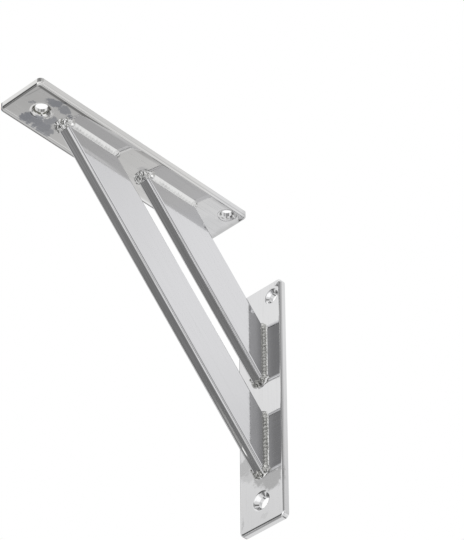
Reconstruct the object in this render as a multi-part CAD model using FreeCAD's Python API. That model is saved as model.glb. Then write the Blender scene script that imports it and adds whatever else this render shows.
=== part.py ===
import FreeCAD, Part
import math
import os

# A welded shelf bracket in plated steel, in millimetres, +Z up.
# Two flat plates stand apart round an open corner. Two flat bars on edge, one
# inside the other, join them at 45 degrees, and a ring of weld goes round each foot.
# The origin is the middle of the wall plate's back face, and +X points out of the wall.

# Plates: flat bars cut to length, ground and polished
plate_width = 41.0
plate_thickness = 5.3
plate_corner_radius = 3.5
plate_front_rounding = 1.8
plate_back_chamfer = 0.3

# Braces: flat bars on edge, mitred onto the plates
brace_width = 35.0
brace_thickness = 9.4
brace_edge_rounding = 2.2

# The open corner: how far the shelf plate starts from the wall, and how much further
# than that the wall plate starts below the shelf
corner_gap = 37.5
wall_plate_drop = 2.0

# Along the shelf plate from its inner end: the corner hole, the inner brace's heel, the
# space between the braces, the end hole past the outer brace's toe, and the outer end
corner_hole_inset = 12.6
corner_hole_to_brace = 25.0
brace_gap = 26.4
brace_to_end_hole = 16.6
end_hole_inset = 20.4

# Countersunk screw holes, one near each end of a plate
corner_hole_side_inset = 8.4
corner_hole_bore = 7.5
corner_hole_rim = 11.6
end_hole_bore = 9.0
end_hole_rim = 14.5
sink_angle = 90.0
rim_rounding = 1.8

# Weld bead round each brace foot
weld_leg = 3.0
weld_heel_run = 2.0
weld_toe_run = -0.8
weld_flats = 4

# Places along a plate that follow from the sizes above. A reach is measured from the outer
# corner, where the wall's plane meets the shelf's, to the front edge of a brace's foot.
brace_foot = brace_width * math.sqrt(2)
inner_brace_reach = corner_gap + corner_hole_inset + corner_hole_to_brace + brace_foot
outer_brace_reach = inner_brace_reach + brace_gap + brace_foot
plate_length = outer_brace_reach + brace_to_end_hole + end_hole_inset - corner_gap

# Heights that follow, with the wall plate centred on the origin
wall_plate_top = plate_length / 2
wall_plate_setback = corner_gap + wall_plate_drop
shelf_top = wall_plate_top + wall_plate_setback
shelf_underside = shelf_top - plate_thickness
corner = FreeCAD.Vector(0, 0, shelf_top)

out_from_wall = FreeCAD.Vector(1, 0, 0)
across = FreeCAD.Vector(0, 1, 0)
down = FreeCAD.Vector(0, 0, -1)

# Cuts run this far past a face, and geometry counts as equal within the tolerance
cut_overrun = 1.0
tolerance = 1e-6


def edges_where(shape, test):
    return [edge for edge in shape.Edges if test(edge)]


def straight_along(edge, direction):
    if not isinstance(edge.Curve, Part.Line):
        return False
    return abs(abs(edge.Curve.Direction.dot(direction)) - 1) < tolerance


def lies_in_plane(edge, point, normal):
    return all(abs(v.Point.sub(point).dot(normal)) < tolerance for v in edge.Vertexes)


def screw_holes():
    """Gives each hole as distance from the plate's inner end, offset across, bore and rim diameters."""
    corner_hole_offset = plate_width / 2 - corner_hole_side_inset
    return [
        (corner_hole_inset, corner_hole_offset, corner_hole_bore, corner_hole_rim),
        (plate_length - end_hole_inset, 0.0, end_hole_bore, end_hole_rim),
    ]


def countersunk_hole(face_point, into, bore, rim):
    """The material that one screw hole takes away: a turned bore and sink with a rounded rim."""
    half_angle = math.radians(sink_angle / 2)
    sink_depth = (rim - bore) / 2 / math.tan(half_angle)
    turn = math.pi / 2 - half_angle
    tangent = rim_rounding * math.tan(turn / 2)

    def at(radius, depth):
        return face_point + across * radius + into * depth

    rim_edge = rim / 2 + tangent
    rim_start = at(rim_edge, 0)
    rim_middle = at(
        rim_edge - rim_rounding * math.sin(turn / 2), rim_rounding * (1 - math.cos(turn / 2))
    )
    rim_end = at(rim / 2 - tangent * math.cos(turn), tangent * math.sin(turn))
    above = -cut_overrun
    through = plate_thickness + cut_overrun
    profile = Part.Wire([
        Part.LineSegment(at(0, above), at(rim_edge, above)).toShape(),
        Part.LineSegment(at(rim_edge, above), rim_start).toShape(),
        Part.Arc(rim_start, rim_middle, rim_end).toShape(),
        Part.LineSegment(rim_end, at(bore / 2, sink_depth)).toShape(),
        Part.LineSegment(at(bore / 2, sink_depth), at(bore / 2, through)).toShape(),
        Part.LineSegment(at(bore / 2, through), at(0, through)).toShape(),
        Part.LineSegment(at(0, through), at(0, above)).toShape(),
    ])
    return Part.Face(profile).revolve(face_point, into, 360)


def plate(inner_end, along, face_normal):
    """A flat bar from inner_end along its length, whose screws go in from the face_normal side.

    inner_end is the middle of the bar's inner end, on its back plane.
    """
    width = face_normal.cross(along)
    corners = [
        inner_end + width * (side * plate_width / 2) + along * reach
        for side, reach in ((-1, 0), (1, 0), (1, plate_length), (-1, plate_length))
    ]
    outline = Part.Face(Part.makePolygon(corners + corners[:1]))
    bar = outline.extrude(face_normal * plate_thickness)
    bar = bar.makeFillet(
        plate_corner_radius, edges_where(bar, lambda e: straight_along(e, face_normal))
    )

    front = inner_end + face_normal * plate_thickness
    bar = bar.makeFillet(
        plate_front_rounding, edges_where(bar, lambda e: lies_in_plane(e, front, face_normal))
    )
    bar = bar.makeChamfer(
        plate_back_chamfer, edges_where(bar, lambda e: lies_in_plane(e, inner_end, face_normal))
    )

    for distance, offset, bore, rim in screw_holes():
        face_point = front + along * distance + across * offset
        bar = bar.cut(countersunk_hole(face_point, face_normal * -1, bore, rim))
    return bar


def brace(reach):
    """A flat bar on edge whose front edge meets each plate's inner face at reach from the corner."""
    outline = [
        FreeCAD.Vector(reach, 0, shelf_underside),
        FreeCAD.Vector(reach - brace_foot, 0, shelf_underside),
        FreeCAD.Vector(plate_thickness, 0, shelf_top - reach + brace_foot),
        FreeCAD.Vector(plate_thickness, 0, shelf_top - reach),
    ]
    start = across * (-brace_thickness / 2)
    face = Part.Face(Part.makePolygon([point + start for point in outline + outline[:1]]))
    bar = face.extrude(across * brace_thickness)
    slope = FreeCAD.Vector(1, 0, 1).normalize()
    return bar.makeFillet(
        brace_edge_rounding, edges_where(bar, lambda e: straight_along(e, slope))
    )


def foot_weld(reach, along, face_normal, bar):
    """The ring of weld round one foot of a brace.

    along runs from the corner to the foot's toe, in the face that the foot stands on.
    The bead's skin is a quarter circle in narrow flats, swept straight along the foot's two
    sides and turned round each end.
    """
    half = brace_thickness / 2
    face = corner + face_normal * plate_thickness
    heel = face + along * (reach - brace_foot - weld_heel_run + half)
    run = brace_foot + weld_heel_run + weld_toe_run - brace_thickness

    skin = []
    for step in range(weld_flats + 1):
        angle = math.pi / 2 * step / weld_flats
        skin.append(
            heel
            + across * (half + weld_leg * math.cos(angle))
            + face_normal * (weld_leg * math.sin(angle))
        )
    outline = [heel] + skin + [heel + face_normal * weld_leg, heel]
    section = Part.Face(Part.makePolygon(outline))
    side_bead = section.extrude(along * run)
    far_side = side_bead.mirror(heel, across)
    heel_end = section.revolve(heel, face_normal, 360)
    toe_end = heel_end.translated(along * run)
    return side_bead.fuse([far_side, heel_end, toe_end]).removeSplitter().cut(bar)


def build():
    pieces = {
        "shelf_plate": plate(corner + out_from_wall * corner_gap, out_from_wall, down),
        "wall_plate": plate(corner + down * wall_plate_setback, down, out_from_wall),
    }
    for which, reach in (("outer", outer_brace_reach), ("inner", inner_brace_reach)):
        bar = brace(reach)
        pieces[which + "_brace"] = bar
        pieces["shelf_" + which + "_weld"] = foot_weld(reach, out_from_wall, down, bar)
        pieces["wall_" + which + "_weld"] = foot_weld(reach, down, out_from_wall, bar)
    return pieces


os.makedirs("parts", exist_ok=True)
for name, shape in build().items():
    solid = shape.Solids[0]
    solid.exportStep("parts/" + name + ".step")
    box = solid.optimalBoundingBox(False, False)
    print(
        name, "solids", len(shape.Solids), "valid", solid.isValid(), "volume", round(solid.Volume, 1),
        "x", round(box.XMin, 2), round(box.XMax, 2),
        "y", round(box.YMin, 2), round(box.YMax, 2),
        "z", round(box.ZMin, 2), round(box.ZMax, 2),
    )
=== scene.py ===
# %% [markdown]
# # A chrome-plated shelf bracket
#
# The bracket is eight pieces of steel: two flat plates, two flat bars on edge, and four beads
# of weld that join them, all under one coat of chrome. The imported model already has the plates
# and bars at their real size. So this lesson does three things. It gives every surface its
# finish, it models the weld beads with their ripples, and it builds the studio that the chrome
# reflects. A mirror has no look of its own, so the studio matters as much as the metal.

import math
from types import SimpleNamespace

import bmesh
import bpy
from mathutils import Matrix, Quaternion, Vector, noise


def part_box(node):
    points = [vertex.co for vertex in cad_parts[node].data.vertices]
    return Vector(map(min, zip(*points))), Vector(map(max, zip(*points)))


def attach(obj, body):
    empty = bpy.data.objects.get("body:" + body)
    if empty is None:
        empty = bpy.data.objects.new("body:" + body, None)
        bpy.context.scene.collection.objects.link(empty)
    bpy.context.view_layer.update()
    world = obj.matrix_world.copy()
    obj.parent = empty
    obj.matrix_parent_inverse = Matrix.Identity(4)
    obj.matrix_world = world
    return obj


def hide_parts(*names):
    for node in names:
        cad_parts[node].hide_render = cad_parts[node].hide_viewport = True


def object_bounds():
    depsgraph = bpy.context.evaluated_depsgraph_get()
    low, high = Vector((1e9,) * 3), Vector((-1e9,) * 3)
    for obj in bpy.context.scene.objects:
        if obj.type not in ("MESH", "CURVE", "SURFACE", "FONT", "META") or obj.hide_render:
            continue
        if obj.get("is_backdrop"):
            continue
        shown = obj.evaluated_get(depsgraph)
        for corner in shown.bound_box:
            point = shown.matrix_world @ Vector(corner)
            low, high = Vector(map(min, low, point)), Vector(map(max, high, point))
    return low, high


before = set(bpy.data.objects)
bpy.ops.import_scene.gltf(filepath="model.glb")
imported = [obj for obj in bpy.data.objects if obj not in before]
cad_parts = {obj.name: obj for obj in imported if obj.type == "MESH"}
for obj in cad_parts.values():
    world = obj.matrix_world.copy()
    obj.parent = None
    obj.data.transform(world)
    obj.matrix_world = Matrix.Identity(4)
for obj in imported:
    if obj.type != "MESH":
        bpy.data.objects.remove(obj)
cad_low, cad_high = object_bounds()
print("model from", [round(c, 4) for c in cad_low], "to", [round(c, 4) for c in cad_high])

MM = 0.001
scene = bpy.context.scene

# %% [markdown]
# The camera stands below the bracket, in front of it and on its +Y side, two metres away. From
# there a long lens shows the plates' edges almost parallel. `to_track_quat` turns the camera's
# -Z axis to the target and keeps its Y axis as close to up as it can, and a third of a degree
# of roll does the rest. A rotation typed in by hand would do too, but a place and a target are
# easier to read and to change.

# %% Camera
camera_place = Vector((1.2403, 1.15846, -1.22745))
camera_target = Vector((0.1, 0.06477, 0.02775))
camera_roll = math.radians(-0.305)
lens_length = 203.16
sensor_width = 36.0

camera_data = bpy.data.cameras.new("camera")
camera_data.lens = lens_length
camera_data.sensor_width = sensor_width
camera = bpy.data.objects.new("camera", camera_data)
camera.location = camera_place
aim = (camera_target - camera_place).to_track_quat("-Z", "Y")
camera.rotation_euler = (aim @ Quaternion((0, 0, 1), camera_roll)).to_euler()
scene.collection.objects.link(camera)
scene.camera = camera
scene.view_settings.view_transform = "Standard"
print("camera distance", round((camera_target - camera_place).length, 3), "m")

# %% [markdown]
# Polished chrome reflects about two thirds of the light that falls on it. What tells a real
# plated bar from a perfect mirror is the steel under the plate. It was ground and buffed by
# hand, so the surface is a little wavy, the flat rolls off towards each border, and fine lines
# scatter some of the light. Painted pictures could show all that, but they would need unwrapped
# surfaces. Nodes that work out each mark from its place on the piece need none, and stay sharp
# at any distance. Every finish here starts from one shader, and the next helpers wire nodes up.

# %% A new material, and a helper that plugs things in
def new_material(name, metallic=1.0):
    material = bpy.data.materials.new(name)
    material.use_nodes = True
    nodes = material.node_tree.nodes
    nodes.clear()
    output = nodes.new("ShaderNodeOutputMaterial")
    shader = nodes.new("ShaderNodeBsdfPrincipled")
    shader.inputs["Metallic"].default_value = metallic
    material.node_tree.links.new(shader.outputs["BSDF"], output.inputs["Surface"])
    return material, shader


def plug(tree, value, socket):
    """Links a node's output into a socket, or sets the socket to a number."""
    if isinstance(value, bpy.types.NodeSocket):
        tree.links.new(value, socket)
    else:
        socket.default_value = value


# %% [markdown]
# Most marks on the bracket are bands: a worn line, a dark border, a ring round a hole. Each is
# arithmetic on one number, such as the distance from an edge. A Math node does one sum. A Map
# Range node set to Smooth Step is a soft border, and two of them multiplied make a stripe.

# %% Arithmetic with nodes
def calc(tree, operation, first, second=0.0):
    node = tree.nodes.new("ShaderNodeMath")
    node.operation = operation
    plug(tree, first, node.inputs[0])
    plug(tree, second, node.inputs[1])
    return node.outputs["Value"]


def product(tree, *factors):
    result = factors[0]
    for factor in factors[1:]:
        result = calc(tree, "MULTIPLY", result, factor)
    return result


def total(tree, *terms):
    result = terms[0]
    for term in terms[1:]:
        result = calc(tree, "ADD", result, term)
    return result


def ramp(tree, value, low, high, at_low=0.0, at_high=1.0):
    """Goes smoothly from at_low to at_high while value goes from low to high."""
    node = tree.nodes.new("ShaderNodeMapRange")
    node.interpolation_type = "SMOOTHSTEP"
    plug(tree, value, node.inputs["Value"])
    node.inputs["From Min"].default_value = low
    node.inputs["From Max"].default_value = high
    node.inputs["To Min"].default_value = at_low
    node.inputs["To Max"].default_value = at_high
    return node.outputs["Result"]


def stripe(tree, value, rise, fall):
    """0, then 1 between the two borders, then 0 again; each border is a pair in millimetres."""
    start = ramp(tree, value, rise[0] * MM, rise[1] * MM)
    end = ramp(tree, value, fall[0] * MM, fall[1] * MM, 1.0, 0.0)
    return product(tree, start, end)


# %% [markdown]
# Texture Coordinate's Object output is the place on the piece in metres, because every piece
# sits at the origin with its place in its mesh. So a mark can be put where a ruler would put
# it. Grain is noise stretched by a Mapping node: long one way and thin the other two, it makes
# the lines that a belt or a buff leaves, and as long as wide, it makes waves and pits.

# %% The place on the piece, and grain
def object_place(tree):
    """The point on the piece, in metres, and its three coordinates."""
    point = tree.nodes.new("ShaderNodeTexCoord").outputs["Object"]
    split = tree.nodes.new("ShaderNodeSeparateXYZ")
    tree.links.new(point, split.inputs["Vector"])
    return point, split.outputs


def grain(tree, point, size, detail=2.0, turn=0.0):
    """Noise whose features have the given size along each axis, turned about Y."""
    mapping = tree.nodes.new("ShaderNodeMapping")
    mapping.vector_type = "TEXTURE"
    mapping.inputs["Scale"].default_value = size
    mapping.inputs["Rotation"].default_value = (0.0, turn, 0.0)
    tree.links.new(point, mapping.inputs["Vector"])
    field = tree.nodes.new("ShaderNodeTexNoise")
    field.inputs["Scale"].default_value = 1.0
    field.inputs["Detail"].default_value = detail
    tree.links.new(mapping.outputs["Vector"], field.inputs["Vector"])
    return field.outputs["Fac"]


def even_grain(tree, point, size, detail=2.0):
    """Grain that is as long as it is wide."""
    return grain(tree, point, (size, size, size), detail)


# %% [markdown]
# A mirror shows even a hundredth of a millimetre of unevenness, because a small tilt moves the
# whole reflection. Waves that low aren't worth modelling, so they are heights in a Bump node,
# which tilts the surface for the light alone. Its Distance is left at 1, so a height is in
# metres, like all else here.

# %% Heights that tilt the light
wave_height = 0.03 * MM


def waves(tree, point, length):
    """The long, low waves that hand buffing leaves in a flat."""
    return product(tree, even_grain(tree, point, length, 1.0), wave_height)


def apply_height(tree, height, shader):
    node = tree.nodes.new("ShaderNodeBump")
    node.inputs["Strength"].default_value = 1.0
    node.inputs["Distance"].default_value = 1.0
    tree.links.new(height, node.inputs["Height"])
    tree.links.new(node.outputs["Normal"], shader.inputs["Normal"])


# %% [markdown]
# Chrome is a slightly blue grey, and a little warmer where the plating tank laid it on thin.
# A metal's colour is the share of each reflected colour, so 0.66 gives back two thirds. Marks
# go on by mixing: the mark's field is the factor, and its colour covers what was there before,
# like one more coat of paint.

# %% Colours
chrome_colour = (0.66, 0.66, 0.665, 1.0)
warm_colour = (0.664, 0.659, 0.65, 1.0)

# a Mix node has sockets for every kind of data, and these are its colour ones
mix_first, mix_second, mix_result = 6, 7, 2


def colour_mix(tree, factor, first, second):
    """Goes from the first colour to the second while factor goes from 0 to 1."""
    mix = tree.nodes.new("ShaderNodeMix")
    mix.data_type = "RGBA"
    tree.links.new(factor, mix.inputs["Factor"])
    plug(tree, first, mix.inputs[mix_first])
    plug(tree, second, mix.inputs[mix_second])
    return mix.outputs[mix_result]


print("chrome gives back", chrome_colour[:3], "and where it is warm", warm_colour[:3])

# %% [markdown]
# Near the welds the chrome has dark patches with ragged borders. They are painted reflections:
# darker parts of the studio, which a wavy plate would mirror there, put into the colour. One noise
# with a threshold would scatter patches all over. Here each patch is an ellipse put where the plate
# has one, and a noise pushes the point about before its distance is taken, which makes the border
# ragged.

# %% Painted reflections, as ragged ellipses
wander_scale = 160.0
ellipse_core, ellipse_border = 0.75, 1.15


def wandering_point(tree, point, ragged):
    """The point, pushed about by up to half of ragged, in millimetres, either way."""
    wander = tree.nodes.new("ShaderNodeTexNoise")
    wander.inputs["Scale"].default_value = wander_scale
    wander.inputs["Detail"].default_value = 6.0
    wander.inputs["Roughness"].default_value = 0.7
    tree.links.new(point, wander.inputs["Vector"])
    shift = tree.nodes.new("ShaderNodeVectorMath")
    shift.operation = "MULTIPLY_ADD"
    shift.inputs[1].default_value = (ragged * MM,) * 3
    tree.links.new(wander.outputs["Color"], shift.inputs[0])
    tree.links.new(point, shift.inputs[2])
    return shift.outputs["Vector"]


def ellipse_field(tree, point, ellipse_list, ragged):
    """The strongest of several ellipses: (place), (radii), strength, all in millimetres."""
    wandering = wandering_point(tree, point, ragged)
    field = 0.0
    for place, radii, strength in ellipse_list:
        mapping = tree.nodes.new("ShaderNodeMapping")
        mapping.vector_type = "TEXTURE"
        mapping.inputs["Location"].default_value = [(c + ragged / 2) * MM for c in place]
        mapping.inputs["Scale"].default_value = [r * MM for r in radii]
        tree.links.new(wandering, mapping.inputs["Vector"])
        length = tree.nodes.new("ShaderNodeVectorMath")
        length.operation = "LENGTH"
        tree.links.new(mapping.outputs["Vector"], length.inputs[0])
        patch_weight = ramp(tree, length.outputs["Value"], ellipse_core, ellipse_border, strength, 0.0)
        field = calc(tree, "MAXIMUM", field, patch_weight)
    return field


# %% [markdown]
# Both plates are flat bar, buffed along their length. The buff leaves fine lines, which show twice:
# a streak is a little darker, and it scatters more light. The same noise drives both, as the same
# scratch does on the real plate. Where the painted reflections lie, the roughness is raised too.

# %% Buffed plating, with painted reflections
reflection_ragged = 13.0
gap_ragged = 6.0
patch_roughness = 0.08


def buffed_lines(tree, point, long_axis):
    size = [0.6 * MM, 0.6 * MM, 0.6 * MM]
    size[long_axis] = 30 * MM
    return grain(tree, point, size)


def reflections_and_streaks(tree, point, lines, ellipse_list, spots):
    """Painted dark reflections less the unpainted gaps in them, with faint streaks everywhere."""
    # painted reflections: dark patches of studio tone put into the colour, with gaps in them
    painted_darkness = ellipse_field(tree, point, ellipse_list, reflection_ragged)
    unpainted = ellipse_field(tree, point, spots, gap_ragged)
    streaks = ramp(tree, lines, 0.5, 0.8, 0.0, 0.2)
    return calc(tree, "MAXIMUM", calc(tree, "SUBTRACT", painted_darkness, unpainted), streaks)


def apply_dullness(tree, lines, patch_weight, shader):
    roughness = ramp(tree, lines, 0.45, 0.8, 0.03, 0.16)
    roughness = total(tree, roughness, product(tree, patch_weight, patch_roughness))
    tree.links.new(roughness, shader.inputs["Roughness"])


# %% [markdown]
# The buff is a soft wheel. It sinks over an edge, so the flat falls away in its last
# millimetres, more and more steeply. Seen from below, that strip mirrors another part of the
# studio, and shows as a dark line just inside the plate's border. The edge itself could be
# modelled rounder, but then the line would lie on the rounding and not beside it. A height
# that falls with the square of the distance puts it where it is.

# %% Roll-off along the sides
roll_width = 4.9 * MM
roll_stop = 1.5 * MM


def roll_off(tree, across, half_width, fall):
    """0 on the flat, and lower towards each long side, until the rounded edge takes over."""
    inside = calc(tree, "SUBTRACT", half_width, calc(tree, "ABSOLUTE", across))
    inside = calc(tree, "MAXIMUM", inside, roll_stop)
    short = calc(tree, "MAXIMUM", calc(tree, "SUBTRACT", roll_width, inside), 0.0)
    return product(tree, calc(tree, "POWER", short, 2.0), -fall)


shelf_fall = 57.6
print("roll-off at the rounding", round(shelf_fall * (roll_width - roll_stop) ** 2 / MM, 2), "mm")

# %% [markdown]
# A countersink cutter chatters a little, and leaves shallow rings round the hole that the plating
# copies. In the corner between the cone and the bore the colour is darkened in a broken ring, as
# painted shade. Both depend only on the distance from the hole's axis. A sine of it makes the rings,
# and a stripe with gaps from a noise the ring of painted shade.

# %% Marks round a hole
ring_pitch = 2.0 * MM
ring_depth = 0.045 * MM
ring_reach = 1.2 * MM
# the colour of the painted shade in the corner of each countersink
ring_shade_colour = (0.14, 0.14, 0.12, 1.0)


def hole_radius(tree, point, centre):
    """How far a place is from the axis of a hole in the shelf plate."""
    offset = tree.nodes.new("ShaderNodeVectorMath")
    offset.operation = "SUBTRACT"
    offset.inputs[1].default_value = centre
    tree.links.new(point, offset.inputs[0])
    flat = tree.nodes.new("ShaderNodeVectorMath")
    flat.operation = "MULTIPLY"
    flat.inputs[1].default_value = (1.0, 1.0, 0.0)
    tree.links.new(offset.outputs["Vector"], flat.inputs[0])
    length = tree.nodes.new("ShaderNodeVectorMath")
    length.operation = "LENGTH"
    tree.links.new(flat.outputs["Vector"], length.inputs[0])
    return length.outputs["Value"]


def cutter_rings(tree, radius, rim):
    """Shallow rings that the countersink left round the hole."""
    wave = calc(tree, "SINE", product(tree, radius, 2 * math.pi / ring_pitch))
    inside = ramp(tree, radius, rim, rim + ring_reach, 1.0, 0.0)
    return product(tree, wave, ring_depth, inside)


def painted_shade_ring(tree, radius, middle, weight, patches):
    """A broken ring of painted shade in the corner of the cone and the bore."""
    gap = calc(tree, "ABSOLUTE", calc(tree, "SUBTRACT", radius, middle))
    ring = ramp(tree, gap, 0.3 * MM, 0.7 * MM, weight, 0.0)
    return product(tree, ring, ramp(tree, patches, 0.38, 0.5))


# %% [markdown]
# The shelf plate's border has painted light of its own: painted reflections of the studio, which the
# plate's rolled-off borders would mirror. Along the -Y side a painted highlight runs inside a
# painted dark line. A painted dark line follows the rounded outer end, with a faint, slanted second
# one beside it, and the inner end is a shade darker, as painted shade near the corner with the wall
# plate. They go into the colour, each as a stripe on a distance from a side or an end.

# %% Painted highlight and dark lines along the shelf plate's border
shelf_low, shelf_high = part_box("shelf_plate")
# the painted highlight's colour, then the colour of the painted dark lines and shade
painted_highlight_colour = (0.85, 0.85, 0.85, 1.0)
painted_dark_colour = (0.28, 0.28, 0.28, 1.0)
side_line_weight = 0.8
end_line_weight = 0.8
frame_line_weight = 0.4
frame_line_slant = 0.125
inner_end_weight = 0.38


def painted_border_light(tree, along, across, shade):
    from_side = calc(tree, "SUBTRACT", across, shelf_low[1])
    from_end = calc(tree, "SUBTRACT", shelf_high[0], along)
    from_inner_end = calc(tree, "SUBTRACT", along, shelf_low[0])

    # painted highlight along the -Y side
    side_highlight = product(tree, stripe(tree, from_side, (2.1, 2.6), (3.0, 3.6)), side_line_weight)
    shade = colour_mix(tree, side_highlight, shade, painted_highlight_colour)

    side_line = ramp(tree, from_side, 1.6 * MM, 2.1 * MM, side_line_weight, 0.0)
    end_line = stripe(tree, from_end, (0.1, 0.5), (1.2, 1.6))
    short_of_corner = ramp(tree, across, 15.5 * MM, 17 * MM, end_line_weight, 0.0)
    end_line = product(tree, end_line, short_of_corner)

    slanted = calc(tree, "SUBTRACT", from_end, product(tree, across, frame_line_slant))
    frame_line = stripe(tree, slanted, (1.8, 2.3), (2.7, 3.2))
    frame_reach = stripe(tree, across, (0.0, 6.0), (16.0, 18.0))
    frame_line = product(tree, frame_line, frame_reach, frame_line_weight)

    # painted shade at the inner end, and painted dark lines along the -Y side and the outer end
    painted_darkness = ramp(tree, from_inner_end, 1.0 * MM, 7.5 * MM, inner_end_weight, 0.0)
    for line in (side_line, end_line, frame_line):
        painted_darkness = calc(tree, "MAXIMUM", painted_darkness, line)
    return colour_mix(tree, painted_darkness, shade, painted_dark_colour)


# %% [markdown]
# Now the shelf plate's own painted reflections. Dark patches lie round the outer hole and in front
# of the outer weld, and three gaps break them up. Each list row is a place, radii and a strength.
# The third number puts a patch on the underside and lets it reach a little way in.

# %% Where the shelf plate is marked
underside = shelf_low[2] / MM
# the bluish colour of the painted dark reflections on the shelf plate
shelf_reflection_colour = (0.295, 0.302, 0.325, 1.0)
shelf_painted_reflections = [
    ((219, 12, underside), (5, 3.5, 3), 0.9),
    ((214, 12.5, underside), (4, 4.5, 3), 0.95),
    ((207, 11.5, underside), (4.5, 4, 3), 0.85),
    ((220, -11.5, underside), (4.5, 5.5, 3), 1.0),
    ((213, -11, underside), (6, 6.5, 3), 0.95),
    ((205, -11.5, underside), (6, 6.5, 3), 0.9),
    ((199, -12.5, underside), (4, 4.5, 3), 0.8),
    ((206, -3, underside), (5, 4.5, 3), 0.8),
    ((200, 9.8, underside), (2.2, 2.0, 3), 1.0),
    ((227, 1.5, underside), (1.3, 1.3, 3), 0.7),
    ((125, 4, underside), (4.5, 5, 3), 0.3),
    ((50, -3, underside), (12, 9, 3), 0.13),
]
shelf_reflection_gaps = [
    ((209, -2, underside), (1.5, 1.2, 3), 1.0),
    ((208, 5, underside), (2.5, 3, 3), 1.0),
    ((213, -15, underside), (1.2, 3, 3), 0.7),
]
# the axis, the radii of the rim and of the ring of painted shade, and how dark that ring is
shelf_holes = [
    ((217.1 * MM, 0.0, 0.0), 7.6 * MM, 5.2 * MM, 1.0),
    ((50.1 * MM, 12.1 * MM, 0.0), 6.2 * MM, 4.6 * MM, 0.45),
]
print(len(shelf_painted_reflections), "clouds and", len(shelf_reflection_gaps), "clean spots on the shelf plate")

# %% [markdown]
# The material is put together in this order: clean chrome, the painted reflections, the rings of
# painted shade in the holes, and the painted highlight and dark lines along the border. The heights
# are added up: roll-off, which is strongest towards the outer end, the cutter's rings, and the
# waves.

# %% Chrome for the shelf plate
shelf_chrome, shader = new_material("shelf_chrome")
tree = shelf_chrome.node_tree
point, place = object_place(tree)
along = place["X"]
across = place["Y"]

lines = buffed_lines(tree, point, 0)
patch_weight = reflections_and_streaks(tree, point, lines, shelf_painted_reflections, shelf_reflection_gaps)
warmth = ramp(tree, along, 60 * MM, 90 * MM)
shade = colour_mix(tree, warmth, chrome_colour, warm_colour)
# painted reflections: the dark patches are mixed into the colour
shade = colour_mix(tree, patch_weight, shade, shelf_reflection_colour)

outward = ramp(tree, along, 120 * MM, 195 * MM, 0.05, 1.0)
height = product(tree, roll_off(tree, across, shelf_high[1], shelf_fall), outward)
patches = even_grain(tree, point, 2.5 * MM, 1.0)
for centre, rim, shade_middle, shade_weight in shelf_holes:
    radius = hole_radius(tree, point, centre)
    ring_shade = painted_shade_ring(tree, radius, shade_middle, shade_weight, patches)
    # painted shade: a dark broken ring in the corner of the cone and the bore
    shade = colour_mix(tree, ring_shade, shade, ring_shade_colour)
    height = total(tree, height, cutter_rings(tree, radius, rim))

shade = painted_border_light(tree, along, across, shade)
tree.links.new(shade, shader.inputs["Base Color"])
apply_dullness(tree, lines, patch_weight, shader)
apply_height(tree, total(tree, height, waves(tree, point, 22 * MM)), shader)
print("shelf chrome has", len(tree.nodes), "nodes")

# %% [markdown]
# The wall plate mirrors the light upper part of the studio. Its painted reflections, dark patches
# put into the colour, lie round the outer weld and below it. Two heights shape what it mirrors. The
# face is a touch hollow across its width, as wide bar is after grinding, which spreads the
# reflections, and its last millimetres at the top fall away, where the buff ran off the end.

# %% Chrome for the wall plate
wall_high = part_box("wall_plate")[1]
face = wall_high[0] / MM
wall_reflection_colour = (0.41, 0.41, 0.41, 1.0)
wall_painted_reflections = [
    ((face, 11, -67), (3, 11, 8), 1.0),
    ((face, 1, -61), (3, 9, 6), 1.0),
    ((face, -14, -46), (3, 6, 9), 0.75),
    ((face, -11, -51), (3, 9, 9), 0.45),
    ((face, -17, -91), (3, 0.8, 5), 0.6),
    ((face, 2, -93), (3, 4, 2), 0.25),
]
wall_reflection_gaps = [((face, 19, -70), (3, 1.0, 9), 1.0)]
wall_hollow = 0.69
end_tip = 6.0
end_tip_length = 7 * MM

wall_chrome, shader = new_material("wall_chrome")
tree = wall_chrome.node_tree
point, place = object_place(tree)
lines = buffed_lines(tree, point, 2)
patch_weight = reflections_and_streaks(tree, point, lines, wall_painted_reflections, wall_reflection_gaps)
# painted reflections: the dark patches are mixed into the colour
shade = colour_mix(tree, patch_weight, chrome_colour, wall_reflection_colour)
tree.links.new(shade, shader.inputs["Base Color"])
apply_dullness(tree, lines, patch_weight, shader)

past = calc(tree, "SUBTRACT", place["Z"], wall_high[2] - end_tip_length)
past = calc(tree, "MAXIMUM", past, 0.0)
tip = product(tree, calc(tree, "POWER", past, 2.0), -end_tip)
hollow = calc(tree, "POWER", calc(tree, "ABSOLUTE", place["Y"]), 2.0)
hollow = product(tree, hollow, wall_hollow)
apply_height(tree, total(tree, tip, hollow, waves(tree, point, 22 * MM)), shader)
print("hollow at the side", round(wall_hollow * wall_high[1] ** 2 / MM, 2), "mm")

# %% [markdown]
# The braces are flat bar on edge. Their narrow front faces keep fine lines from the belt that
# ground them, worn grey in places, and their wide sides are buffed. The grain is turned 45
# degrees about Y, so that it runs along the bar. The front face is where x - z is largest, so
# `front - (x - z)` is how deep a place lies behind it. Next to the wall plate the buff can't
# reach into the corner, so the side rises a little towards it.

# %% Chrome for the braces
brace_colour = (0.658, 0.658, 0.672, 1.0)
worn_colour = (0.5, 0.5, 0.5, 1.0)
line_size = (40 * MM, 0.5 * MM, 0.5 * MM)
scratch_depth = 0.004 * MM
corner_reach = 14 * MM
corner_rise = 1.7


def brace_shade(tree, place, lines, front):
    """Chrome with worn lines on the narrow front face."""
    depth = calc(tree, "SUBTRACT", front, calc(tree, "SUBTRACT", place["X"], place["Z"]))
    on_front = ramp(tree, depth, 0.1 * MM, 1.5 * MM, 1.0, 0.05)
    worn = product(tree, ramp(tree, lines, 0.35, 0.62), on_front)
    return colour_mix(tree, worn, brace_colour, worn_colour)


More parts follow.
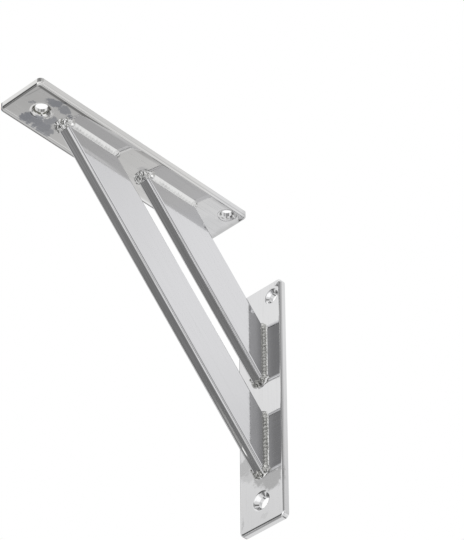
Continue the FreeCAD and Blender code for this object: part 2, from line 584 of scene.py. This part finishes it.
def brace_height(tree, point, place, lines):
    near = calc(tree, "SUBTRACT", corner_reach, place["X"])
    near = calc(tree, "MAXIMUM", near, 0.0)
    rise = product(tree, calc(tree, "POWER", near, 2.0), corner_rise)
    scratches = product(tree, lines, scratch_depth)
    return total(tree, rise, waves(tree, point, 25 * MM), scratches)


# %% [markdown]
# A painted highlight runs along the front face of each brace, beside its middle: a light band put
# into the colour. It is faint, except low on the outer brace, where it is strong, and a short nick
# runs through the strong part. The highlight is a colour, a flat light band. The nick is a height,
# because it is a ridge of pushed-up metal, and its two slopes catch the light differently.

# %% The painted highlight and the nick
# the painted highlight's near-white colour, then how strong it is where it is faint
front_highlight_colour = (1.0, 1.0, 0.99, 1.0)
faint_highlight = 0.1
nick_middle = -1.3 * MM
nick_half_width = 0.4 * MM
nick_height = 0.1 * MM


def front_highlight(tree, place, lines, strength, shade):
    highlight_stripe = stripe(tree, place["Y"], (-2.4, -1.9), (-0.7, -0.2))
    broken = ramp(tree, lines, 0.25, 0.5, 0.3, 1.0)
    return colour_mix(tree, product(tree, highlight_stripe, strength, broken), shade, front_highlight_colour)


def highlight_strength(tree, place):
    """How strong the outer brace's painted highlight is: nothing at its foot, then full, then faint.
    """
    fade = ramp(tree, place["Z"], -30 * MM, -10 * MM, 1.0, faint_highlight)
    return product(tree, fade, ramp(tree, place["Z"], -52 * MM, -46 * MM))


def front_nick(tree, place):
    beside = calc(tree, "ABSOLUTE", calc(tree, "SUBTRACT", place["Y"], nick_middle))
    ridge = ramp(tree, beside, 0.0, nick_half_width, nick_height, 0.0)
    return product(tree, ridge, stripe(tree, place["Z"], (-49, -47), (-45, -43)))


def brace_chrome(name, node, strong_highlight):
    material, shader = new_material(name)
    tree = material.node_tree
    point, place = object_place(tree)
    front = max(v.co.x - v.co.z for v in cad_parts[node].data.vertices)
    lines = grain(tree, point, line_size, turn=-math.pi / 4)
    shade = brace_shade(tree, place, lines, front)
    height = brace_height(tree, point, place, lines)
    strength = faint_highlight
    if strong_highlight:
        strength = highlight_strength(tree, place)
        height = total(tree, height, front_nick(tree, place))
    # painted highlight along the front face
    shade = front_highlight(tree, place, lines, strength, shade)
    tree.links.new(shade, shader.inputs["Base Color"])
    tree.links.new(ramp(tree, lines, 0.4, 0.8, 0.04, 0.16), shader.inputs["Roughness"])
    apply_height(tree, height, shader)
    print(name, "front face at x - z =", round(front / MM, 1), "mm")
    return material


outer_chrome = brace_chrome("outer_chrome", "outer_brace", True)
inner_chrome = brace_chrome("inner_chrome", "inner_brace", False)

# %% [markdown]
# The weld beads weren't ground before plating, so their chrome follows every pit. Near the toes and
# heels, where the welder stopped, specks of burnt flux show through. The beads on the wall plate
# stand upright and mirror a dark card, and two things are painted into their colour: a painted
# highlight along the plate, and short marks of painted shade where one ripple meets the next. A sine
# of the place's height beats those marks out, and a noise puts them out of step.

# %% Chrome for the welds
burnt_colour = (0.12, 0.12, 0.11, 1.0)
# the colours of the painted shade between ripples and of the painted highlight along the plate
ripple_shade_colour = (0.16, 0.16, 0.15, 1.0)
root_highlight_colour = (0.8, 0.8, 0.8, 1.0)
mark_pitch = 1.2 * MM
mark_disorder = 9.0
ripple_shade_weight = 0.78
weld_roughness = 0.07
toe_ragged = 3.0


def painted_bead_light(tree, place, fine, shade):
    """A painted highlight along the wall plate and a row of short marks of painted shade on the
    crown.
    """
    across = calc(tree, "SUBTRACT", place["X"], wall_high[0])
    beat = product(tree, place["Z"], 2 * math.pi / mark_pitch)
    beat = total(tree, beat, product(tree, fine, mark_disorder))
    ripple_shade = ramp(tree, calc(tree, "SINE", beat), -0.5, 0.3)
    crown = ramp(tree, across, 0.7 * MM, 0.9 * MM)
    crown = product(tree, crown, ramp(tree, across, 1.5 * MM, 2.0 * MM, 1.0, 0.25))
    # painted shade where one ripple meets the next, on the crown
    shade = colour_mix(tree, product(tree, ripple_shade, crown, ripple_shade_weight), shade, ripple_shade_colour)
    # painted highlight along the wall plate
    line = ramp(tree, across, 0.45 * MM, 0.75 * MM, 1.0, 0.0)
    line = product(tree, line, ramp(tree, fine, 0.3, 0.5))
    return colour_mix(tree, line, shade, root_highlight_colour)


def weld_finish(name, colour, toes, pit_depth, bead_light_painted):
    material, shader = new_material(name)
    tree = material.node_tree
    point, place = object_place(tree)
    shader.inputs["Roughness"].default_value = weld_roughness
    fine = even_grain(tree, point, 1.2 * MM, 1.0)
    burnt = ellipse_field(tree, point, toes, toe_ragged)
    burnt = product(tree, burnt, ramp(tree, fine, 0.5, 0.57))
    shade = colour_mix(tree, burnt, colour, burnt_colour)
    if bead_light_painted:
        shade = painted_bead_light(tree, place, fine, shade)
    tree.links.new(shade, shader.inputs["Base Color"])
    pits = product(tree, even_grain(tree, point, 0.9 * MM), pit_depth)
    apply_height(tree, pits, shader)
    print(name, "has", len(toes), "burnt places and pits of", round(pit_depth / MM, 2), "mm")
    return material


# %% [markdown]
# Each burnt place is an ellipse, given as the painted reflections were, and lies over the end of a
# bead, where the welder started or stopped. The beads on the shelf plate have finer pits than the
# upright ones. They are also the lit copy of one weld colour: the upright beads mirror a dark card,
# and their colour is darker, as painted shade. So each pair has a finish of its own.

# %% The two weld finishes
# the shelf beads' colour is the lit copy, and the wall beads' the copy darkened as painted shade
lit_shelf_weld_colour = (0.69, 0.69, 0.685, 1.0)
shaded_wall_weld_colour = (0.5, 0.5, 0.485, 1.0)
shelf_burnt_places = [
    ((199, 0, 133), (6, 8, 9), 0.8),
    ((122, 0, 133), (5, 8, 9), 0.55),
    ((149.5, 7, 133), (2.2, 3, 6), 0.7),
    ((73.5, 7, 133), (2.2, 3, 6), 0.7),
]
wall_burnt_places = [
    ((7, -2, -60), (9, 6, 5), 0.85),
    ((7, -2, 16), (9, 6, 5), 0.6),
]
weld_chrome = {
    "shelf": weld_finish(
        "lit_shelf_weld_chrome", lit_shelf_weld_colour, shelf_burnt_places, 0.05 * MM, False
    ),
    "wall": weld_finish("shaded_wall_weld_chrome", shaded_wall_weld_colour, wall_burnt_places, 0.08 * MM, True),
}

# %% [markdown]
# The plates and braces keep the meshes that came with the model, because their shapes are
# right. Only the material in their slots is changed.

# %% Give the plates and braces their chrome
finishes = {
    "shelf_plate": shelf_chrome,
    "wall_plate": wall_chrome,
    "outer_brace": outer_chrome,
    "inner_brace": inner_chrome,
}
for node, material in finishes.items():
    for material_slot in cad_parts[node].material_slots:
        material_slot.material = material
    print(node, "is finished with", material.name)

# %% [markdown]
# A weld bead runs round each foot of each brace. The model has a plain, even bead there, and
# the real one is anything but even, so each is replaced. A sculpted blob would do for one,
# but four beads with hundreds of ripples call for a rule. First comes a plain bead, as long
# as two straights and two half circles. Its section is spun from one point, a quarter turn
# round the corner where brace and plate meet, and closed with three hidden points that sink
# it a little into both. Then `spin` sweeps the section round the foot: with an angle of 0 and
# a step it goes straight, and with a centre and half a turn it goes round an end. The steps
# are fine enough to carry the ripples that come next.

# %% Sweep a plain bead round a foot
bead_sink = 0.4 * MM
sweep_step = 0.28 * MM
arc_steps = 18
weld_gap = 0.01 * MM


def bead_section(ring, half_width, leg, heel):
    """The section at the heel's end of the +Y straight: a quarter circle and its hidden side."""
    start = bmesh.ops.create_vert(ring, co=(heel, half_width + leg, 0.0))["vert"]
    bmesh.ops.spin(
        ring, geom=start, cent=(heel, half_width, 0.0), axis=(1, 0, 0),
        angle=math.pi / 2, steps=arc_steps,
    )
    skin = sorted(ring.verts, key=lambda v: v.co.z)
    hidden = [
        bmesh.ops.create_vert(ring, co=(heel, y, z))["vert"][0]
        for y, z in (
            (half_width - bead_sink, leg),
            (half_width - bead_sink, -bead_sink),
            (half_width + leg, -bead_sink),
        )
    ]
    loop = [skin[-1]] + hidden + [skin[0]]
    for first, second in zip(loop, loop[1:]):
        ring.edges.new((first, second))
    return ring.verts[:] + ring.edges[:]


def bead_ring(half_width, leg, heel, toe):
    """A closed ring of weld on the plane z = 0, with its skin upwards; the foot runs along x."""
    ring = bmesh.new()
    section = bead_section(ring, half_width, leg, heel)
    straight = round((toe - heel) / sweep_step)
    turn = round(math.pi * (half_width + leg) / sweep_step)
    step = (toe - heel) / straight
    for centre, way in ((toe, 1), (heel, -1)):
        section = bmesh.ops.spin(
            ring, geom=section, dvec=(way * step, 0, 0), axis=(0, 0, 1), cent=(0, 0, 0),
            angle=0.0, steps=straight,
        )["geom_last"]
        section = bmesh.ops.spin(
            ring, geom=section, cent=(centre, 0, 0), axis=(0, 0, 1),
            angle=-math.pi, steps=turn,
        )["geom_last"]
    bmesh.ops.remove_doubles(ring, verts=ring.verts, dist=weld_gap)
    bmesh.ops.recalc_face_normals(ring, faces=ring.faces)
    return ring


# %% [markdown]
# Now the ripples. The welder lays the bead in small puddles, and each puddle freezes into a
# curved ripple, like a stack of coins pushed over. Each point of the skin has a place along
# the bead and an angle round its section, from 0 at the plate to a quarter turn at the bar. A
# real fillet is almost flat, so the radius at that angle starts from the chord and bulges a
# little. Ripples are rounded ridges with sharp valleys, bowed along the bead, which is what
# the absolute value of a sine looks like. Where the welder starts and stops, metal piles up:
# lumps are soft domes, and small drops are the cells of a cell noise, rounded off.

# %% How far the skin is from the corner
ripple_pitch = 3.0 * MM
ripple_bow = 1.1 * MM
ripple_level = 0.6
wander_length = 9 * MM
wander_size = 0.25 * MM
beat_wander = 0.5 * MM
drop_size = 1.9 * MM
drop_height = 1.1 * MM
drop_level = 0.45
drop_reach = 9 * MM
far_away = 99 * MM


def dome(distance, radius):
    """1 in the middle of a lump, falling smoothly to 0 at its radius."""
    return max(0.0, 1.0 - (distance / radius) ** 2) ** 2


def drops(point, size):
    """Round drops side by side, 1 on top of each and 0 in the creases."""
    gap = noise.voronoi(point / size)[0][0]
    return max(0.0, 1.0 - (gap / 0.6) ** 2)


def skin_radius(foot, spot, along, section_angle):
    """The distance of a point on the skin from the corner that the weld fills."""
    leg = foot.leg
    crown = math.sin(2 * section_angle)
    chord = leg / (math.cos(section_angle) + math.sin(section_angle))
    radius = chord + foot.bulge * (leg - chord)
    side_row = math.copysign(2.0, spot.y)
    wander = noise.noise(Vector((along / wander_length, side_row, foot.seed)))
    radius += wander_size * wander * crown
    beat = (along + ripple_bow * crown + beat_wander * wander) / ripple_pitch
    radius += foot.ripple * (abs(math.sin(math.pi * beat)) - ripple_level) * crown

    across = (section_angle / (math.pi / 2) - 0.5) * leg
    for place, side, lump_radius, lump_height in foot.lumps:
        beside = 0.0 if side * spot.y > 0 else far_away
        gap = math.hypot(math.hypot(along - place, beside), across)
        radius += lump_height * dome(gap, lump_radius)

    at_toe = min(max((along - foot.end) / drop_reach + 1.0, 0.0), 1.0)
    if at_toe > 0.0:
        piled = drops(spot + Vector((foot.seed, 0.0, 0.0)), drop_size) - drop_level
        radius += drop_height * piled * crown * min(1.0, 3.0 * at_toe)
    return radius


# %% [markdown]
# With the radius known, each point moves outwards by the same share, along the section on the
# straights and away from the end's centre on the half circles. At the toe the bead also rises
# up the brace and leans back with it, because the brace's back stands at 45 degrees there.

# %% Shape the skin
toe_lean = 0.72
hidden_margin = 0.1 * MM


def shape_skin(ring, foot):
    middle = foot.half_width + foot.leg / 2
    for vert in ring.verts:
        x, y, z = vert.co
        centre = min(max(x, foot.heel), foot.toe)
        out = math.hypot(x - centre, y)
        if out < foot.half_width - hidden_margin or z < -hidden_margin:
            continue
        section_angle = math.atan2(z, out - foot.half_width)
        round_end = math.pi / 2 - math.atan2(abs(y), x - centre)
        along = centre + middle * round_end

        radius = skin_radius(foot, Vector((x, y, z)), along, section_angle)
        front = max(0.0, (x - foot.toe) / out)
        radius += foot.rise * front * math.sin(section_angle) ** 2
        scale = radius / foot.leg
        flat = (foot.half_width + (out - foot.half_width) * scale) / out
        lean = toe_lean * front * z * scale
        vert.co = (centre + (x - centre) * flat - lean, y * flat, z * scale)


# %% [markdown]
# The beads on the shelf plate were laid with the bracket upside down, and came out smooth and
# flat. Those on the wall plate have strong ripples and a rounder crown. Each bead's sizes come
# from the box of the plain bead that it replaces: the leg is how far the box stands off the
# plate, and what is left of its width is the brace. Lumps are given by their distance back
# from the end of the toe, so the same five fit all four beads.

# %% Sizes of each bead
bulges = {"shelf": 0.12, "wall": 0.3}
ripples = {"shelf": 0.025 * MM, "wall": 0.2 * MM}
toe_shorter = {"shelf": 0.0, "wall": 1.0 * MM}
toe_rises = {"shelf": 1.5 * MM, "wall": 1.0 * MM}
heel_lump_heights = {"shelf": 0.7 * MM, "wall": 0.3 * MM}
heel_lump_back = 1.5 * MM
heel_lump_radius = 2.2 * MM
# distance back from the end of the toe, side, radius and height in millimetres
toe_lumps = [
    (11.0, -1, 1.9, 1.6),
    (8.5, 1, 2.2, 1.2),
    (4.5, -1, 1.8, 0.9),
    (5.0, 1, 1.7, 0.8),
    (1.0, -1, 2.0, 0.8),
]


def foot_sizes(node, plate, seed):
    low, high = (Vector(corner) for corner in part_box(node))
    leg = high.x - low.x if plate == "wall" else high.z - low.z
    half_width = high.y - leg
    heel = half_width + leg
    toe = max(high.x - low.x, high.z - low.z) - heel - toe_shorter[plate]
    end = toe + (half_width + leg / 2) * math.pi / 2
    heel_place = heel - heel_lump_back
    heel_height = heel_lump_heights[plate]
    lumps = [(heel_place, side, heel_lump_radius, heel_height) for side in (-1, 1)]
    for back, side, radius, height in toe_lumps:
        lumps.append((end - back * MM, side, radius * MM, height * MM))
    return SimpleNamespace(
        leg=leg, half_width=half_width, heel=heel, toe=toe, end=end, lumps=lumps,
        bulge=bulges[plate], ripple=ripples[plate], rise=toe_rises[plate], seed=seed,
        corner=Vector((low.x, 0, high.z)),
    )


# %% [markdown]
# The ring is made lying flat, its heel's end at the origin, and then turned into place: a
# quarter turn stands it against the wall plate, and a half turn hangs it under the shelf
# plate.

# %% Build the four welds
turns = {"wall": (math.pi / 2, "Y"), "shelf": (math.pi, "X")}


def weld(node, seed):
    plate = node.split("_")[0]
    foot = foot_sizes(node, plate, seed)
    ring = bead_ring(foot.half_width, foot.leg, foot.heel, foot.toe)
    shape_skin(ring, foot)
    turn = Matrix.Rotation(turns[plate][0], 4, turns[plate][1])
    bmesh.ops.transform(ring, matrix=Matrix.Translation(foot.corner) @ turn, verts=ring.verts)
    for face in ring.faces:
        face.smooth = True

    mesh = bpy.data.meshes.new(node + "_bead")
    ring.to_mesh(mesh)
    ring.free()
    mesh.materials.append(weld_chrome[plate])
    piece = bpy.data.objects.new(node + "_bead", mesh)
    scene.collection.objects.link(piece)
    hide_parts(node)
    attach(piece, "root")
    print(piece.name, "has", len(mesh.polygons), "faces and a leg of", round(foot.leg / MM, 2), "mm")


seed_step = 3.1
weld_nodes = ["shelf_outer_weld", "shelf_inner_weld", "wall_outer_weld", "wall_inner_weld"]
for count, node in enumerate(weld_nodes):
    weld(node, seed_step * count)

# %% [markdown]
# Product shots of chrome are taken inside a tent of white cloth, with grey and black cards to
# give the metal its darks. Real cards could be modelled as planes, but here the world shader
# paints them by direction, which costs no light bounces and can't cast a shadow. Each card is
# a disc on the sky with a soft border, given by its azimuth and elevation. A later card lies
# on top of an earlier one. The comments say what mirrors each card to the camera.

# %% Cards in the studio
tent_white = 1.0
# azimuth, elevation, radius and soft border in degrees, then the card's brightness
studio_cards = [
    (134, 37, 34, 30, 1.04),      # the braces' wide sides, and the wall plate
    (118, 46, 13, 4, 0.88),       # the outer brace's side, and both plates
    (136, 20, 15.5, 4, 0.84),     # the plates near the braces
    (133, -27, 9, 8, 1.12),       # the shelf plate and its inner weld
    (322, 42, 22, 16, 1.1),       # the wall plate's face
    (318, 19, 16, 4, 0.93),       # the wall plate's face
    (245, 3, 22, 10, 0.42),       # the braces' edges
    (252, -22, 20, 8, 0.62),      # the shelf plate
    (229, -62, 21.6, 3.4, 0.57),  # the shelf plate's underside, its main tone
    (120, -47, 11, 8, 0.7),       # the shelf plate, by way of the outer brace
    (322, -10, 30.5, 6, 0.27),    # the dark front faces of both braces
    (325, -2, 16, 8, 0.12),       # the roundings of both plates
    (320, -27, 5, 5, 0.36),       # the outer brace's front face
    (290, -50, 14, 8, 0.38),      # the roundings of both plates
    (16, -13, 27, 14, 1.5),       # light edges on the braces and the wall plate
    (44, -38, 7, 4, 0.15),        # a dark line along the braces' edges
    (205, -51, 11, 6, 0.25),      # the dark line along the shelf plate's +Y border
    (6, 36, 13, 6, 0.38),         # the wall plate's edge
    (26, 37, 13, 6, 0.34),        # the wall plate and its welds
    (350, 70, 14, 8, 1.4),        # the wall plate, by way of the inner brace
    (40, 37, 5, 4, 0.75),         # the wall plate
    (55, 36.5, 10.3, 6, 0.36),    # the wall plate and the braces, one seen in the other
    (48, 45, 4, 3, 0.04),         # the same, where it is darkest
    (97, 42, 10, 6, 0.5),         # the wall plate
    (78, -8, 14, 8, 0.35),        # the braces
    (118, 2, 14, 10, 0.8),        # the shelf plate
    (270, 39, 14, 6, 0.15),       # the wall plate
    (316, -44, 6.3, 1.0, 1.15),   # the corner, where each plate mirrors the other
]


def sky_direction(azimuth, elevation):
    a = math.radians(azimuth)
    e = math.radians(elevation)
    return Vector((math.cos(e) * math.cos(a), math.cos(e) * math.sin(a), math.sin(e)))


print(len(studio_cards), "cards, the darkest", min(card[-1] for card in studio_cards))

# %% [markdown]
# The dot product of two directions is the cosine of the angle between them. So a card's mask
# is a ramp on that cosine, and a chain of Mix nodes lays the cards over the tent's white one
# by one. The camera sees plain white behind the bracket, as on a cut-out picture, through the
# Light Path node. Only what the metal mirrors is the tent.

# %% The tent's shader
world = bpy.data.worlds.new("studio")
world.use_nodes = True
scene.world = world
sky_tree = world.node_tree
sky_tree.nodes.clear()
sky_output = sky_tree.nodes.new("ShaderNodeOutputWorld")
direction = sky_tree.nodes.new("ShaderNodeTexCoord").outputs["Generated"]


def card_mask(azimuth, elevation, radius, border):
    dot = sky_tree.nodes.new("ShaderNodeVectorMath")
    dot.operation = "DOT_PRODUCT"
    dot.inputs[1].default_value = sky_direction(azimuth, elevation)
    sky_tree.links.new(direction, dot.inputs[0])
    outer = math.cos(math.radians(radius + border / 2))
    inner = math.cos(math.radians(radius - border / 2))
    return ramp(sky_tree, dot.outputs["Value"], outer, inner)


def mix_value(factor, first, second):
    mix = sky_tree.nodes.new("ShaderNodeMix")
    mix.data_type = "FLOAT"
    sky_tree.links.new(factor, mix.inputs["Factor"])
    plug(sky_tree, first, mix.inputs["A"])
    plug(sky_tree, second, mix.inputs["B"])
    return mix.outputs["Result"]


brightness = tent_white
for azimuth, elevation, radius, border, card_brightness in studio_cards:
    mask = card_mask(azimuth, elevation, radius, border)
    brightness = mix_value(mask, brightness, card_brightness)

seen_by_camera = sky_tree.nodes.new("ShaderNodeLightPath").outputs["Is Camera Ray"]
background = sky_tree.nodes.new("ShaderNodeBackground")
background.inputs["Color"].default_value = (1.0, 1.0, 1.0, 1.0)
strength = mix_value(seen_by_camera, brightness, 1.0)
sky_tree.links.new(strength, background.inputs["Strength"])
sky_tree.links.new(background.outputs["Background"], sky_output.inputs["Surface"])
print("the tent's shader has", len(sky_tree.nodes), "nodes")

# %% [markdown]
# The bracket hangs on a wall, so nothing stands on the floor. It is a sheet of white paper
# far below, out of the camera's view, and it only matters when the bracket is looked at from
# above. Lit by the tent alone it would look grey against the white, so it glows a little,
# for the camera only.

# %% Floor
floor_half = 0.45
floor_middle = (0.1, 0.0, -1.35)
paper_colour = (0.9, 0.9, 0.9, 1.0)
paper_roughness = 0.9
paper_glow = 0.3

floor_mesh = bpy.data.meshes.new("floor")
sheet = bmesh.new()
bmesh.ops.create_grid(sheet, x_segments=1, y_segments=1, size=floor_half)
bmesh.ops.translate(sheet, verts=sheet.verts, vec=floor_middle)
sheet.to_mesh(floor_mesh)
sheet.free()
floor = bpy.data.objects.new("floor", floor_mesh)
scene.collection.objects.link(floor)
floor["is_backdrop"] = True

paper, paper_shader = new_material("floor_paper", metallic=0.0)
paper_shader.inputs["Base Color"].default_value = paper_colour
paper_shader.inputs["Roughness"].default_value = paper_roughness
paper_shader.inputs["Emission Color"].default_value = (1.0, 1.0, 1.0, 1.0)
paper_tree = paper.node_tree
paper_path = paper_tree.nodes.new("ShaderNodeLightPath")
glow = product(paper_tree, paper_path.outputs["Is Camera Ray"], paper_glow)
paper_tree.links.new(glow, paper_shader.inputs["Emission Strength"])
floor_mesh.materials.append(paper)
print("floor", 2 * floor_half, "m square, at z =", floor_middle[2])

# %% [markdown]
# Last, the whole dressed bracket is measured. Its box has to be the model's box, because
# looks never change a size. The beads are the only new shapes, and they stay inside it.

# %% Measure and finish
low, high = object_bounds()
grown = max(abs(a - b) for a, b in zip([*low, *high], [*cad_low, *cad_high]))
print("the box has changed by", round(grown / MM, 3), "mm")
